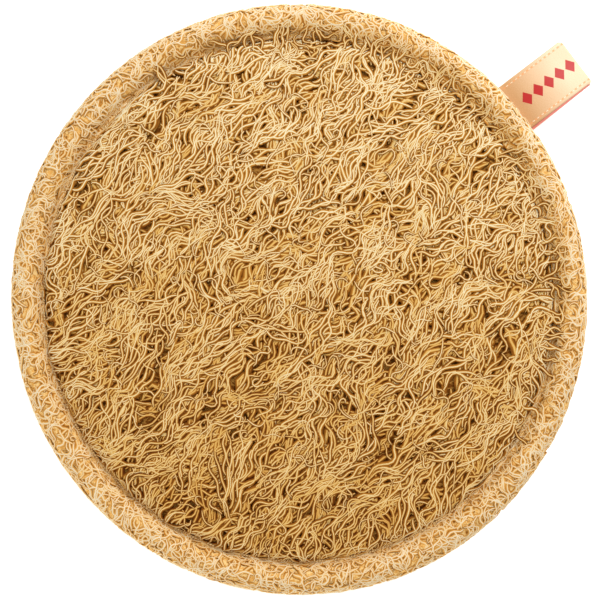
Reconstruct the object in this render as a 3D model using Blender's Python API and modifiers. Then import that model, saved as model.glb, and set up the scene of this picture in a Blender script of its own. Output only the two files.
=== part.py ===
"""Round natural loofah sponge: a domed mat of loofah fibre, bound in a rim band, with a ribbon tag.

The pad lies on its back on the plane z = 0, with its middle at the origin and its front face up.
"""

import math

import bmesh
import bpy
import numpy as np
from mathutils import Matrix

MM = 0.001
SEED = 7

# Outline seen from above: a circle that is pressed a little oval
LONG_DIAMETER = 150 * MM
SHORT_DIAMETER = 146 * MM
LONG_AXIS_TURN = math.radians(9.3)  # from +Y, anticlockwise
ROUND_RADIUS = LONG_DIAMETER / 2
TURN_STEPS = 42
MERGE_DISTANCE = 0.01 * MM

# Clearance between neighbouring pieces
GAP = 0.3 * MM

# Rim band: an upright oval welt with a slot on its inner side
RIM_WIDTH = 7.7 * MM
RIM_HEIGHT = 10.4 * MM
RIM_MIDDLE_Z = 7.5 * MM
RIM_NET_RISE = 0.8 * MM
RIM_OUTER = ROUND_RADIUS - RIM_NET_RISE
RIM_MIDDLE_R = RIM_OUTER - RIM_WIDTH / 2
RIM_INNER = RIM_OUTER - RIM_WIDTH
RIM_SIDES = 10
SLOT_DEPTH = 3.1 * MM

# Pad: dome, rounded shoulders and the pressed flange in the rim's slot
FLANGE_THICKNESS = 3.0 * MM
FLANGE_RADIUS = RIM_INNER + SLOT_DEPTH - GAP
SHOULDER_RADIUS = RIM_INNER - 1.3 * MM
SHOULDER_REACH = 3.2 * MM
CROWN_Z = 17.0 * MM
DOME_DROP = 6.0 * MM
DOME_POINTS = 5
SHOULDER_POINTS = 4
FLANGE_TOP_Z = RIM_MIDDLE_Z + FLANGE_THICKNESS / 2
FLANGE_BOTTOM_Z = RIM_MIDDLE_Z - FLANGE_THICKNESS / 2
BACK_Z = 1.0 * MM
BACK_FLAT_RADIUS = 46 * MM
BACK_RISE = 1.5 * MM
REST_SPOT_RADIUS = 8 * MM
REST_SPOT_CHAMFER = 2 * MM

# Raised net of the pad's two faces, larger than life
STRAND_HEADING = math.radians(45)
STRAND_STEP = 7.6 * MM
STRAND_SINK = 0.12  # of a strand's radius, below the surface
STRAND_END_SINK = 0.5  # of a strand's radius, further down at its two ends
STRAND_RIPPLE = 0.15  # of a strand's radius, up and down
STRAND_RIPPLE_STEP = 1.9  # radians from one point to the next
FRONT_STRAND_RADIUS = 1.3 * MM
FRONT_STRAND_SPACING = 5.8 * MM
BACK_STRAND_RADIUS = 1.3 * MM
BACK_STRAND_SPACING = 10.8 * MM
STRAND_WANDER = 0.4  # of the spacing, sideways
STRAND_WAVE = (38 * MM, 62 * MM)
NET_BEND = 5 * MM
NET_BEND_WAVE = 120 * MM
NET_BEND_SLANT = 0.7  # of a lane's place, that the bend runs ahead by
LANE_PHASE = 0.9  # radians that a lane's wave may run early or late
LINE_SAMPLES = 400
FEWEST_SAMPLES = 40  # of a strand that is long enough to lay
LINK_SHARE = 0.2  # chance of a cross link at each step of a strand
LINK_THICKNESS = 0.85  # of a long strand's
LONGEST_LINK = 2 * STRAND_STEP
NET_EDGE = SHOULDER_RADIUS - 1.9 * MM

# Raised net of the rim band: closed strands that wander over its outer side
RIM_STRANDS = 5
RIM_STRAND_RADIUS = 0.9 * MM
RIM_STRAND_SINK = 0.05
RIM_STRAND_STEPS = 54
RIM_NET_FROM = math.radians(-124)
RIM_NET_TO = math.radians(124)
RIM_WAVES = (8, 18)  # waves of a strand in one round
RIM_WANDER = (0.55, 0.35)  # of a lane's width, in a strand's two waves

# Seam thread in the groove of each face
STITCHES = 88
THREAD_RADIUS = 0.4 * MM
THREAD_RING_RADIUS = RIM_INNER - 0.6 * MM
STITCH_RISE = 0.3 * MM

# Ribbon tag, folded in two, with its ends in a pocket of the rim band
TAG_WIDTH = 12.7 * MM
TAG_LENGTH = 18.6 * MM
TAG_ROOT = 3.0 * MM
TAG_LEAF = 0.6 * MM
TAG_LEAF_GAP = 0.35 * MM
TAG_X = 55.0 * MM
TAG_Y = 48.5 * MM
TAG_TURN = math.radians(37.4)
TAG_SKEW = 0.8 * MM
TAG_ARCH = 0.9 * MM
TAG_DROOP = 1.4 * MM
TAG_TIP_NARROWING = 0.5 * MM
TAG_TIP_LENGTH = 1.2 * MM
TAG_SKEW_LOSS = 0.6  # of the skew, from the rim to the tip
TAG_RIBS = 3
TAG_LEAF_SPANS = 6
TAG_FOLD_SPANS = 6

SHARP_ANGLE = math.radians(50)


def clear_scene():
    """Remove every object."""
    for scene_object in list(bpy.data.objects):
        bpy.data.objects.remove(scene_object)


def make_collection(name, hidden=False):
    """Add a collection under the scene's own."""
    collection = bpy.data.collections.new(name)
    bpy.context.scene.collection.children.link(collection)
    collection.hide_render = hidden
    return collection


def make_material(name, colour, roughness):
    """Return a Principled material with one colour and roughness."""
    material = bpy.data.materials.new(name)
    material.use_nodes = True
    shader = material.node_tree.nodes["Principled BSDF"]
    shader.inputs["Base Color"].default_value = (*colour, 1)
    shader.inputs["Roughness"].default_value = roughness
    shader.inputs["Metallic"].default_value = 0
    return material


def add_object(name, shape, collection, material=None):
    """Put a mesh or a curve in a collection as an object of its own, with its material."""
    shape.name = name
    if material is not None:
        shape.materials.clear()
        shape.materials.append(material)
    part = bpy.data.objects.new(name, shape)
    collection.objects.link(part)
    return part


def evaluated_mesh(source):
    """Return a new mesh with the object's modifiers applied."""
    graph = bpy.context.evaluated_depsgraph_get()
    return bpy.data.meshes.new_from_object(source.evaluated_get(graph))


def turned_mesh(name, profile, closed):
    """Turn a profile of (radius, z) points once round the Z axis.

    The profile runs from top to bottom along its outer side, and a closed one returns to its start.
    """
    mesh = bpy.data.meshes.new(name)
    points = [(radius, 0, z) for radius, z in profile]
    edges = [(i, i + 1) for i in range(len(points) - 1)]
    if closed:
        edges.append((len(points) - 1, 0))
    mesh.from_pydata(points, edges, [])
    blank = add_object(name, mesh, bpy.context.scene.collection)
    screw = blank.modifiers.new("turn", "SCREW")
    screw.steps = TURN_STEPS
    screw.render_steps = TURN_STEPS
    screw.use_merge_vertices = True
    screw.merge_threshold = MERGE_DISTANCE
    turned = evaluated_mesh(blank)
    bpy.data.objects.remove(blank)
    return turned


def strand(points, radius, cyclic, collection):
    """Add a four-sided strand along the points, as a closed mesh."""
    curve = bpy.data.curves.new("strand", "CURVE")
    curve.dimensions = "3D"
    curve.bevel_depth = radius
    curve.bevel_resolution = 0
    curve.use_fill_caps = not cyclic
    curve.twist_mode = "Z_UP"
    spline = curve.splines.new("POLY")
    spline.points.add(len(points) - 1)
    for spline_point, place in zip(spline.points, points):
        spline_point.co = (*place, 1)
    spline.use_cyclic_u = cyclic
    wire = add_object("strand", curve, collection)
    mesh = evaluated_mesh(wire)
    bpy.data.objects.remove(wire)
    shape = bmesh.new()
    shape.from_mesh(mesh)
    bmesh.ops.remove_doubles(shape, verts=shape.verts, dist=MERGE_DISTANCE)
    bmesh.ops.recalc_face_normals(shape, faces=shape.faces)
    shape.to_mesh(mesh)
    shape.free()
    return add_object("strand", mesh, collection)


def boolean(body, operation, other, solver):
    """Apply one Boolean with an object or a whole collection to the body."""
    cut = body.modifiers.new(operation.lower(), "BOOLEAN")
    cut.operation = operation
    cut.solver = solver
    if isinstance(other, bpy.types.Collection):
        cut.operand_type = "COLLECTION"
        cut.collection = other
    else:
        cut.object = other
    mesh = evaluated_mesh(body)
    body.modifiers.clear()
    body.data = mesh


def empty_collection(collection):
    """Remove a collection with the objects in it."""
    for helper in list(collection.objects):
        bpy.data.objects.remove(helper)
    bpy.data.collections.remove(collection)


def press_oval(mesh):
    """Press a round shape into the oval outline, which only changes X and Y."""
    narrow = Matrix.Diagonal((SHORT_DIAMETER / LONG_DIAMETER, 1, 1, 1))
    turn = Matrix.Rotation(LONG_AXIS_TURN, 4, "Z")
    mesh.transform(turn @ narrow @ turn.inverted())


def arc(centre, half_r, half_z, start, end, steps):
    """Return (radius, z) points along an ellipse between two angles, both included."""
    angles = np.linspace(start, end, steps)
    return [(centre[0] + half_r * math.cos(a), centre[1] + half_z * math.sin(a)) for a in angles]


def dome_z(radius):
    """Height of the front face before its shoulder: a shallow parabola."""
    return CROWN_Z - DOME_DROP * (radius / SHOULDER_RADIUS) ** 2


def front_profile():
    """Points of the front face from the middle to the flange."""
    edge = SHOULDER_RADIUS - SHOULDER_REACH
    face = [(radius, dome_z(radius)) for radius in np.linspace(0, edge, DOME_POINTS)]
    drop = dome_z(edge) - FLANGE_TOP_Z
    shoulder = arc((edge, FLANGE_TOP_Z), SHOULDER_REACH, drop, math.pi / 2, 0, SHOULDER_POINTS)
    return face + shoulder[1:]


def back_profile():
    """Points of the back face from the flange to where its middle is flat."""
    edge = SHOULDER_RADIUS - SHOULDER_REACH
    back_edge_z = BACK_Z + BACK_RISE
    rise = FLANGE_BOTTOM_Z - back_edge_z
    shoulder = arc((edge, FLANGE_BOTTOM_Z), SHOULDER_REACH, rise, 0, -math.pi / 2, SHOULDER_POINTS)
    return shoulder + [(BACK_FLAT_RADIUS, BACK_Z)]


def rest_spot():
    """Points of the small flat spot in the middle of the back, which the sponge rests on."""
    return [(REST_SPOT_RADIUS + REST_SPOT_CHAMFER, BACK_Z), (REST_SPOT_RADIUS, 0), (0, 0)]


def face_height(profile):
    """Return a function that gives the height of a face at a radius."""
    radii, heights = zip(*sorted(profile))
    return lambda radius: float(np.interp(radius, radii, heights))


def even_steps(x, y):
    """Return the path's points again, an even step apart, as a list of (x, y)."""
    travel = np.concatenate(([0], np.cumsum(np.hypot(np.diff(x), np.diff(y)))))
    count = max(2, round(travel[-1] / STRAND_STEP) + 1)
    even = np.linspace(0, travel[-1], count)
    return list(zip(np.interp(even, travel, x), np.interp(even, travel, y)))


def net_lines(spacing, rng):
    """Return the long strands of a face as lists of (x, y) points.

    Each strand keeps its lane across the heading and wanders in it, so neighbours meet and part.
    """
    across = np.arange(-NET_EDGE + spacing / 2, NET_EDGE, spacing)
    along = np.linspace(-NET_EDGE, NET_EDGE, LINE_SAMPLES)
    lines = []
    for lane, middle in enumerate(across):
        phase = rng.uniform(-LANE_PHASE, LANE_PHASE) + lane * math.pi
        wave = rng.uniform(*STRAND_WAVE)
        wander = STRAND_WANDER * spacing * np.sin(2 * math.pi * along / wave + phase)
        ahead = along + NET_BEND_SLANT * middle
        bend = NET_BEND * np.sin(2 * math.pi * ahead / NET_BEND_WAVE)
        side = middle + wander + bend
        x = along * math.cos(STRAND_HEADING) - side * math.sin(STRAND_HEADING)
        y = along * math.sin(STRAND_HEADING) + side * math.cos(STRAND_HEADING)
        inside = np.hypot(x, y) < NET_EDGE
        if inside.sum() > FEWEST_SAMPLES:
            lines.append(even_steps(x[inside], y[inside]))
    return lines


def net_links(lines, rng):
    """Return the short links that cross from one strand to the next, slanted along the heading."""
    links = []
    for line, neighbour in zip(lines, lines[1:]):
        for start in line:
            if rng.random() > LINK_SHARE:
                continue
            nearest_first = sorted(neighbour, key=lambda place: math.dist(start, place))
            end = nearest_first[1]
            if math.dist(start, end) < LONGEST_LINK:
                links.append([start, end])
    return links


def lay_strand(line, surface, radius, lift, collection, rng):
    """Lay a strand on a face of the pad, with its two ends sunk into the body."""
    phase = rng.uniform(0, 2 * math.pi)
    points = []
    for step, (x, y) in enumerate(line):
        ripple = STRAND_RIPPLE * radius * math.sin(STRAND_RIPPLE_STEP * step + phase)
        height = surface(math.hypot(x, y)) + lift * (ripple - STRAND_SINK * radius)
        points.append((x, y, height))
    for end in (0, -1):
        x, y, z = points[end]
        points[end] = (x, y, z - lift * STRAND_END_SINK * radius)
    strand(points, radius, False, collection)


def make_pad(parts, rng):
    """Make the loofah mat: a turned body with the raised net fused to both faces."""
    front = front_profile()
    back = back_profile()
    flange = [(FLANGE_RADIUS, FLANGE_TOP_Z), (FLANGE_RADIUS, FLANGE_BOTTOM_Z)]
    material = make_material("loofah_fibre", (0.47, 0.29, 0.11), 0.85)
    mesh = turned_mesh("loofah_pad", front + flange + back + rest_spot(), closed=False)
    pad = add_object("loofah_pad", mesh, parts, material)
    strands = make_collection("pad_strands", hidden=True)
    faces = (
        (face_height(front), FRONT_STRAND_SPACING, FRONT_STRAND_RADIUS, 1),
        (face_height(back), BACK_STRAND_SPACING, BACK_STRAND_RADIUS, -1),
    )
    for surface, spacing, radius, lift in faces:
        lines = net_lines(spacing, rng)
        for line in lines:
            lay_strand(line, surface, radius, lift, strands, rng)
        for link in net_links(lines, rng):
            lay_strand(link, surface, radius * LINK_THICKNESS, lift, strands, rng)
    boolean(pad, "UNION", strands, "MANIFOLD")
    empty_collection(strands)
    for vertex in pad.data.vertices:
        vertex.co.z = max(vertex.co.z, 0)
    press_oval(pad.data)
    return pad


def make_rim(parts, rng):
    """Make the rim band: a turned welt with its slot, its raised net and the tag's pocket."""
    slot_angle = math.asin((FLANGE_THICKNESS / 2 + GAP) / (RIM_HEIGHT / 2))
    half_r = RIM_WIDTH / 2
    half_z = RIM_HEIGHT / 2
    middle = (RIM_MIDDLE_R, RIM_MIDDLE_Z)
    start = math.pi - slot_angle
    welt = arc(middle, half_r, half_z, start, -start, RIM_SIDES)
    slot_end = RIM_INNER + SLOT_DEPTH
    slot = [
        (slot_end, RIM_MIDDLE_Z - FLANGE_THICKNESS / 2 - GAP),
        (slot_end, RIM_MIDDLE_Z + FLANGE_THICKNESS / 2 + GAP),
    ]
    material = make_material("loofah_rim", (0.62, 0.42, 0.20), 0.85)
    rim = add_object("rim_band", turned_mesh("rim_band", welt + slot, closed=True), parts, material)
    strands = make_collection("rim_strands", hidden=True)
    turn = np.linspace(0, 2 * math.pi, RIM_STRAND_STEPS, endpoint=False)
    lane_width = (RIM_NET_TO - RIM_NET_FROM) / RIM_STRANDS
    for lane in range(RIM_STRANDS):
        waves = rng.integers(*RIM_WAVES, size=2)
        phases = rng.uniform(0, 2 * math.pi, size=2)
        wander = sum(
            swing * np.sin(wave * turn + phase) for swing, wave, phase in zip(RIM_WANDER, waves, phases)
        )
        side = RIM_NET_FROM + lane_width * (lane + 0.5 + wander)
        side = np.clip(side, RIM_NET_FROM, RIM_NET_TO)
        inset = 1 - RIM_STRAND_SINK * RIM_STRAND_RADIUS / half_r
        radius = RIM_MIDDLE_R + half_r * inset * np.cos(side)
        height = RIM_MIDDLE_Z + half_z * inset * np.sin(side)
        points = np.stack((radius * np.cos(turn), radius * np.sin(turn), height), axis=1)
        strand(points.tolist(), RIM_STRAND_RADIUS, True, strands)
    boolean(rim, "UNION", strands, "MANIFOLD")
    empty_collection(strands)
    press_oval(rim.data)
    return rim


def tag_frame():
    """Return the matrix that takes the tag's own frame, +X out along it, to its place on the rim."""
    return Matrix.Translation((TAG_X, TAG_Y, RIM_MIDDLE_Z)) @ Matrix.Rotation(TAG_TURN, 4, "Z")


def cut_pocket(rim, cutters):
    """Cut the pocket that the ends of the ribbon are caught in."""
    reach = TAG_ROOT + GAP
    height = 2 * TAG_LEAF + TAG_LEAF_GAP + 2 * GAP
    width = TAG_WIDTH + TAG_SKEW + 2 * GAP
    shape = bmesh.new()
    bmesh.ops.create_cube(shape, size=1)
    size = Matrix.Diagonal((2 * reach, width, height, 1))
    place = Matrix.Translation((0, -TAG_SKEW / 2, 0))
    bmesh.ops.transform(shape, matrix=tag_frame() @ place @ size, verts=shape.verts)
    mesh = bpy.data.meshes.new("tag_pocket")
    shape.to_mesh(mesh)
    shape.free()
    cutter = add_object("tag_pocket", mesh, cutters)
    cutter.hide_render = True
    cutter.display_type = "WIRE"
    boolean(rim, "DIFFERENCE", cutter, "EXACT")


def tag_centreline():
    """Return the ribbon's path in its own frame as rows of (out, up, share of the skew)."""
    half = (TAG_LEAF + TAG_LEAF_GAP) / 2
    fold_start = TAG_LENGTH - half - TAG_LEAF / 2
    leaf = np.linspace(-TAG_ROOT, fold_start, TAG_LEAF_SPANS + 1)
    bend = np.linspace(math.pi / 2, -math.pi / 2, TAG_FOLD_SPANS + 1)[1:-1]
    out = np.concatenate((leaf, fold_start + half * np.cos(bend), leaf[::-1]))
    up = np.concatenate((np.full(leaf.size, half), half * np.sin(bend), np.full(leaf.size, -half)))
    share = np.clip(out / TAG_LENGTH, 0, 1)
    skew = np.clip((half - up) / (2 * half), 0, 1) * (1 - TAG_SKEW_LOSS * share)
    rise = TAG_ARCH * np.sin(math.pi * share) - TAG_DROOP * share**2
    return np.stack((out, up + rise, skew), axis=1)


def make_tag(parts):
    """Make the folded ribbon: an open strip along its path, given its thickness."""
    path = tag_centreline()
    across = np.linspace(0.5, -0.5, TAG_RIBS)
    near_tip = np.clip((path[:, 0] - TAG_LENGTH) / TAG_TIP_LENGTH + 1, 0, 1)
    width = TAG_WIDTH - TAG_TIP_NARROWING * near_tip
    points = [
        (row[0], w * share - TAG_SKEW * row[2], row[1])
        for row, w in zip(path, width)
        for share in across
    ]
    corners = [row * TAG_RIBS + rib for row in range(len(path) - 1) for rib in range(TAG_RIBS - 1)]
    faces = [(corner, corner + 1, corner + TAG_RIBS + 1, corner + TAG_RIBS) for corner in corners]
    mesh = bpy.data.meshes.new("ribbon_tag")
    mesh.from_pydata(points, [], faces)
    mesh.transform(tag_frame())
    material = make_material("ribbon_satin", (0.85, 0.58, 0.34), 0.4)
    tag = add_object("ribbon_tag", mesh, parts, material)
    wall = tag.modifiers.new("thickness", "SOLIDIFY")
    wall.thickness = TAG_LEAF
    wall.offset = 0
    wall.use_even_offset = True
    return tag


def make_thread(name, parts, side, material):
    """Make the seam thread of one face: a ring that rises over each stitch."""
    count = 2 * STITCHES
    turn = np.linspace(0, 2 * math.pi, count, endpoint=False)
    low = RIM_MIDDLE_Z + side * (FLANGE_THICKNESS / 2 + GAP + THREAD_RADIUS)
    height = low + side * STITCH_RISE * (np.arange(count) % 2)
    ring = np.stack(
        (THREAD_RING_RADIUS * np.cos(turn), THREAD_RING_RADIUS * np.sin(turn), height), axis=1
    )
    thread = strand(ring.tolist(), THREAD_RADIUS, True, parts)
    thread.name = name
    thread.data.name = name
    thread.data.materials.append(material)
    press_oval(thread.data)
    return thread


def main():
    """Build the whole sponge."""
    clear_scene()
    rng = np.random.default_rng(SEED)
    parts = make_collection("loofah_sponge")
    cutters = make_collection("cutters", hidden=True)
    pad = make_pad(parts, rng)
    rim = make_rim(parts, rng)
    cut_pocket(rim, cutters)
    make_tag(parts)
    thread_material = make_material("seam_thread", (0.60, 0.44, 0.24), 0.8)
    make_thread("stitch_ring_front", parts, 1, thread_material)
    make_thread("stitch_ring_back", parts, -1, thread_material)
    for fused in (pad, rim):
        fused.data.shade_smooth()
        fused.data.set_sharp_from_angle(angle=SHARP_ANGLE)


main()
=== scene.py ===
"""Natural loofah sponge with its real surface: nets of fibre, a bound rim and a folded ribbon tag.

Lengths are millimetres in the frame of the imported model, where the sponge lies on z = 0 with its
face up, and meshes are scaled to metres. Materials, lights and the camera are in metres.
"""

import logging
import math
from dataclasses import dataclass
from enum import Enum

import bpy
import numpy as np
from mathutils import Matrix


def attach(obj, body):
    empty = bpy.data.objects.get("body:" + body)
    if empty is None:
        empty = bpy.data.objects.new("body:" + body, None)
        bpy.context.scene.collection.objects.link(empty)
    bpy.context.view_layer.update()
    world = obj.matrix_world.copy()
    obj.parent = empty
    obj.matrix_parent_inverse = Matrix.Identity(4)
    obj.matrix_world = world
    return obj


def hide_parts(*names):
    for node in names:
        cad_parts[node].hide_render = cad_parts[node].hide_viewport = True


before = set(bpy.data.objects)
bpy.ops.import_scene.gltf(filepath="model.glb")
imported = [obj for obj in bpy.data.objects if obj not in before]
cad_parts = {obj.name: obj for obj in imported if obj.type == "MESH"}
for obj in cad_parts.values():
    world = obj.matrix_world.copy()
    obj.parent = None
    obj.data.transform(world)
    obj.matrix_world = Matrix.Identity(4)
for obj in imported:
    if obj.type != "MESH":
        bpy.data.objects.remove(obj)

LOG = logging.getLogger("loofah")
MM = 0.001
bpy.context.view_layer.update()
TUBE_SIDES = 3
SHARP_ANGLE = math.radians(100)
TINY = 1e-9
SCREEN_FOOT, SCREEN_SLOPE, SCREEN_OFFSET, SCREEN_POWER = 0.04045, 12.92, 0.055, 2.4
TONE_INPUTS = ("root", "slope", "gain", "line_from", "line_to", "tint_gain", "mottle")
STREAK = {"run": 0.5, "tint": 400.0, "crest": 3.0}
Array = np.ndarray
Colour = tuple[float, float, float]
Pair = tuple[float, float]
Material = bpy.types.Material
Object = bpy.types.Object
Socket = bpy.types.NodeSocket


def srgb(red: int, green: int, blue: int) -> Colour:
    """Turn a screen colour into the linear values that a shader takes.

    Args:
        red: Red from 0 to 255.
        green: Green from 0 to 255.
        blue: Blue from 0 to 255.

    Returns:
        The linear colour, by the usual screen curve with its short straight foot.
    """
    screen = np.array((red, green, blue)) / 255
    curve = ((screen + SCREEN_OFFSET) / (1 + SCREEN_OFFSET)) ** SCREEN_POWER
    return tuple(np.where(screen <= SCREEN_FOOT, screen / SCREEN_SLOPE, curve).tolist())


def unit(vectors: Array) -> Array:
    """Return the vectors at length one, measured along the last axis."""
    return vectors / np.maximum(np.linalg.norm(vectors, axis=-1, keepdims=True), TINY)


def polar(radius: Array, turn: Array, z: Array) -> Array:
    """Return places at a radius and a turn about Z, with x, y and z along a new last axis."""
    return np.stack(np.broadcast_arrays(radius * np.cos(turn), radius * np.sin(turn), z), axis=-1)


def travelled(line: Array) -> Array:
    """Return the distance along a line, given as rows of coordinates, to each of its places."""
    return np.concatenate(([0], np.cumsum(np.linalg.norm(np.diff(line, axis=0), axis=1))))


class Side(Enum):
    """The two faces of the pad, by the sign of their normal's Z."""

    FRONT = 1
    BACK = -1


@dataclass(frozen=True)
class Build:
    """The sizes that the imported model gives, as round sizes before the oval is pressed."""

    long_axis_turn: float = math.radians(9.3)
    narrowing: float = 146 / 150
    round_radius: float = 75.0
    rim_width: float = 7.7
    rim_height: float = 10.4
    rim_middle_z: float = 7.5
    net_rise: float = 0.8
    crown_z: float = 17.0
    dome_drop: float = 6.0
    shoulder_reach: float = 3.2
    groove: float = 0.7
    flange: float = 3.0
    back_z: float = 1.0
    back_rise: float = 1.5
    back_flat: float = 46.0
    profile_points: int = 120

    @property
    def rim_outer(self) -> float:
        """Radius of the rim band's bed at its widest."""
        return self.round_radius - self.net_rise

    @property
    def rim_inner(self) -> float:
        """Radius of the rim band's inner side."""
        return self.rim_outer - self.rim_width

    @property
    def rim_middle(self) -> float:
        """Radius of the middle of the rim band's section."""
        return self.rim_outer - self.rim_width / 2

    @property
    def shoulder(self) -> float:
        """Radius at which the pad's face meets its flange."""
        return self.rim_inner - self.groove

    def rim_share(self, radius: Array) -> Array:
        """Return where radii lie on the rim: -1 at its inner side, 0 on its top, 1 at its widest."""
        return np.clip((radius - self.rim_middle) / (self.rim_width / 2), -1, 1)

    def press(self, points: Array) -> Array:
        """Press round places into the oval: turned upright, narrowed along X and turned back.

        Args:
            points: Places with x, y and z along the last axis.

        Returns:
            The pressed places; z stays as it is.
        """
        cos, sin = math.cos(self.long_axis_turn), math.sin(self.long_axis_turn)
        turn = np.array(((cos, -sin), (sin, cos)))
        narrow = turn @ np.diag((self.narrowing, 1.0)) @ turn.T
        return np.concatenate((points[..., :2] @ narrow.T, points[..., 2:]), axis=-1)

    def face_profile(self, side: Side) -> tuple[Array, Array]:
        """Give a face of the pad as radius and height.

        The front is a parabola, the back is flat and then rises a little, and both end in a
        quarter oval down to the flange.

        Args:
            side: Which face.

        Returns:
            Radii from the middle outwards, and the heights there.
        """
        edge = self.shoulder - self.shoulder_reach
        inner = np.linspace(0, edge, self.profile_points)
        if side is Side.FRONT:
            heights = self.crown_z - self.dome_drop * (inner / self.shoulder) ** 2
        else:
            rise = np.clip((inner - self.back_flat) / (edge - self.back_flat), 0, 1)
            heights = self.back_z + self.back_rise * rise**2
        flange_z = self.rim_middle_z + side.value * self.flange / 2
        turn = np.linspace(0, math.pi / 2, self.profile_points)[1:]
        outer = edge + self.shoulder_reach * np.sin(turn)
        drop = flange_z + (heights[-1] - flange_z) * np.cos(turn)
        return np.concatenate((inner, outer)), np.concatenate((heights, drop))


@dataclass(frozen=True)
class Waves:
    """A smooth, uneven value over a sheet: sines that run in all directions, summed.

    The value is the sum over i of swing sqrt(2 / count) sin(k_i . place + phase_i), where the
    wave vectors k_i have lengths near 2 pi / size, so swing is its root mean square.
    """

    size: float
    swing: float
    seed: int
    count: int = 9
    variety: Pair = (0.7, 1.3)

    def value(self, across: Array, along: Array) -> Array:
        """Give the value at places of the sheet.

        Args:
            across: The places' first coordinate.
            along: Their second coordinate.

        Returns:
            The value, of the same shape.
        """
        rng = np.random.default_rng(self.seed)
        turn = rng.uniform(0, 2 * math.pi, self.count)
        pitch = 2 * math.pi / self.size * rng.uniform(*self.variety, self.count)
        phase = rng.uniform(0, 2 * math.pi, self.count)
        run = across[..., None] * np.cos(turn) + along[..., None] * np.sin(turn)
        return self.swing * math.sqrt(2 / self.count) * np.sin(run * pitch + phase).sum(-1)


@dataclass(frozen=True)
class Flow:
    """The directions that fibres grow in: one heading, with waves of several sizes over it."""

    heading: float
    waves: tuple[Waves, ...]

    def angle(self, across: Array, along: Array) -> Array:
        """Return the direction at places of the sheet, in radians: the heading plus the waves."""
        return self.heading + sum(wave.value(across, along) for wave in self.waves)


@dataclass
class Fibres:
    """Fibres as arrays of shape (fibre, point) on a flat sheet.

    The place is (across, along), lift is the height over the sheet, half_width the half width,
    run the way along the fibre, and depth a factor on its tone, which is painted shade: darker
    for lower layers and lower fibres, with more painted light and shade added on the pad and rim; tint is
    one value for each fibre.
    """

    across: Array
    along: Array
    lift: Array
    half_width: Array
    run: Array
    tint: Array
    depth: Array

    def keep(self, chosen: Array) -> "Fibres":
        """Return only the chosen fibres, given as one true or false each."""
        return Fibres(*(getattr(self, name)[chosen] for name in self.__dataclass_fields__))


@dataclass(frozen=True)
class Knots:
    """Knots of the net, which draw the fibres near them together.

    A place p moves by the sum over the knots k of pull (k - p) exp(-|k - p|^2 / (2 reach^2)).
    """

    pitch: float
    pull: float
    reach: float
    seed: int

    def draw_in(self, fibres: Fibres, width: float, length: float) -> None:
        """Move fibres towards the knots that are scattered over a rectangle.

        Args:
            fibres: Fibres on the flat sheet.
            width: The rectangle's size across.
            length: Its size along.
        """
        rng = np.random.default_rng(self.seed)
        knots = scatter(width, length, int(width * length / self.pitch**2), rng)
        away_x = knots[:, 0] - fibres.across[..., None]
        away_y = knots[:, 1] - fibres.along[..., None]
        weight = self.pull * np.exp(-(away_x**2 + away_y**2) / (2 * self.reach**2))
        fibres.across = fibres.across + (weight * away_x).sum(-1)
        fibres.along = fibres.along + (weight * away_y).sum(-1)


def scatter(width: float, length: float, count: int, rng: np.random.Generator) -> Array:
    """Scatter places evenly over a rectangle that is centred on zero.

    Args:
        width: The rectangle's size across.
        length: Its size along.
        count: About how many places.
        rng: Seeded random numbers.

    Returns:
        Rows of (across, along): the middles of a grid's cells, each shaken within its cell.
    """
    columns = max(1, round(math.sqrt(count * width / length)))
    rows = max(1, round(count / columns))
    cell = np.array((width / columns, length / rows))
    grid = np.stack(np.meshgrid(np.arange(columns), np.arange(rows)), axis=-1).reshape(-1, 2)
    return (grid + rng.uniform(0, 1, grid.shape)) * cell - (width / 2, length / 2)


def squeeze(distance: Array, limit: float, room: float) -> Array:
    """Draw distances in so that none passes a limit.

    Args:
        distance: Distances from a middle, not negative.
        limit: The limit.
        room: The stretch before it in which they are drawn together.

    Returns:
        m + room (1 - exp(-(d - m) / room)) for each distance d past m = limit - room, or else d.
    """
    margin = limit - room
    past = np.maximum(distance - margin, 0) / room
    return np.where(past > 0, margin + room * (1 - np.exp(-past)), distance)


def centred_sum(values: Array) -> Array:
    """Sum values along each row by the trapezium rule, counted from the row's mean.

    Args:
        values: Rows of values.

    Returns:
        The sums, of the same shape.
    """
    steps = np.cumsum((values[:, 1:] + values[:, :-1]) / 2, axis=1)
    total = np.concatenate((0 * values[:, :1], steps), axis=1)
    return total - total.mean(axis=1, keepdims=True)


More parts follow.
